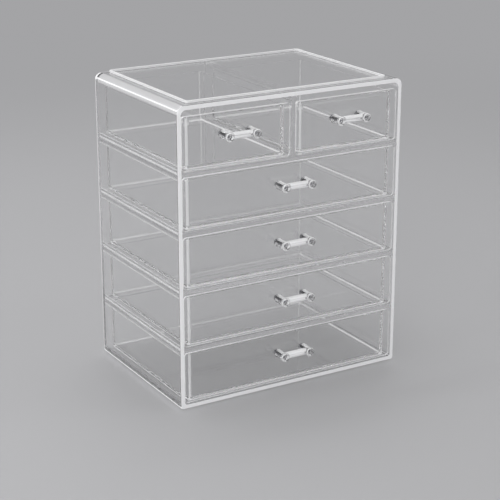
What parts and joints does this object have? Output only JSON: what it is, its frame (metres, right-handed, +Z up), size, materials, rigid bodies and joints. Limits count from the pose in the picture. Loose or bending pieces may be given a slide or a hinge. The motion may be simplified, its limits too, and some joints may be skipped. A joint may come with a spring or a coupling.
{
  "type": "makeup organizer",
  "caption": "Clear acrylic makeup organizer: a free-standing case of stacked cells with sliding open-topped drawers, each with a small clear bar pull.",
  "frame": {"origin": "on the standing surface, under the middle of the footprint with the pulls included", "axes": "+Z up, the drawer fronts face -Y, +X to the right seen from the front"},
  "size_m": [0.24, 0.179, 0.2895],
  "materials": {
    "case_acrylic": "clear polished acrylic",
    "drawer_acrylic": "clear polished acrylic",
    "pull_acrylic": "clear polished acrylic",
    "screw_steel": "bright plated steel",
    "pad_rubber": "clear soft pad"
  },
  "bodies": {
    "case": {"case_shell": "case_acrylic", "shelf_1": "case_acrylic", "shelf_2": "case_acrylic", "shelf_3": "case_acrylic", "shelf_4": "case_acrylic", "top_divider": "case_acrylic", "feet": "pad_rubber"},
    "drawer_top_left": {"drawer_top_left_front": "drawer_acrylic", "drawer_top_left_tray": "drawer_acrylic", "drawer_top_left_handle": "pull_acrylic", "drawer_top_left_screws": "screw_steel"},
    "drawer_top_right": {"drawer_top_right_front": "drawer_acrylic", "drawer_top_right_tray": "drawer_acrylic", "drawer_top_right_handle": "pull_acrylic", "drawer_top_right_screws": "screw_steel"},
    "drawer_second": {"drawer_second_front": "drawer_acrylic", "drawer_second_tray": "drawer_acrylic", "drawer_second_handle": "pull_acrylic", "drawer_second_screws": "screw_steel"},
    "drawer_third": {"drawer_third_front": "drawer_acrylic", "drawer_third_tray": "drawer_acrylic", "drawer_third_handle": "pull_acrylic", "drawer_third_screws": "screw_steel"},
    "drawer_fourth": {"drawer_fourth_front": "drawer_acrylic", "drawer_fourth_tray": "drawer_acrylic", "drawer_fourth_handle": "pull_acrylic", "drawer_fourth_screws": "screw_steel"},
    "drawer_bottom": {"drawer_bottom_front": "drawer_acrylic", "drawer_bottom_tray": "drawer_acrylic", "drawer_bottom_handle": "pull_acrylic", "drawer_bottom_screws": "screw_steel"}
  },
  "joints": [
    {"name": "drawer_top_left_slide", "type": "slide", "parent": "case", "child": "drawer_top_left", "axis": [0, -1, 0], "range_m": [0, 0.12]},
    {"name": "drawer_top_right_slide", "type": "slide", "parent": "case", "child": "drawer_top_right", "axis": [0, -1, 0], "range_m": [0, 0.12]},
    {"name": "drawer_second_slide", "type": "slide", "parent": "case", "child": "drawer_second", "axis": [0, -1, 0], "range_m": [0, 0.12]},
    {"name": "drawer_third_slide", "type": "slide", "parent": "case", "child": "drawer_third", "axis": [0, -1, 0], "range_m": [0, 0.12]},
    {"name": "drawer_fourth_slide", "type": "slide", "parent": "case", "child": "drawer_fourth", "axis": [0, -1, 0], "range_m": [0, 0.12]},
    {"name": "drawer_bottom_slide", "type": "slide", "parent": "case", "child": "drawer_bottom", "axis": [0, -1, 0], "range_m": [0, 0.12]}
  ]
}
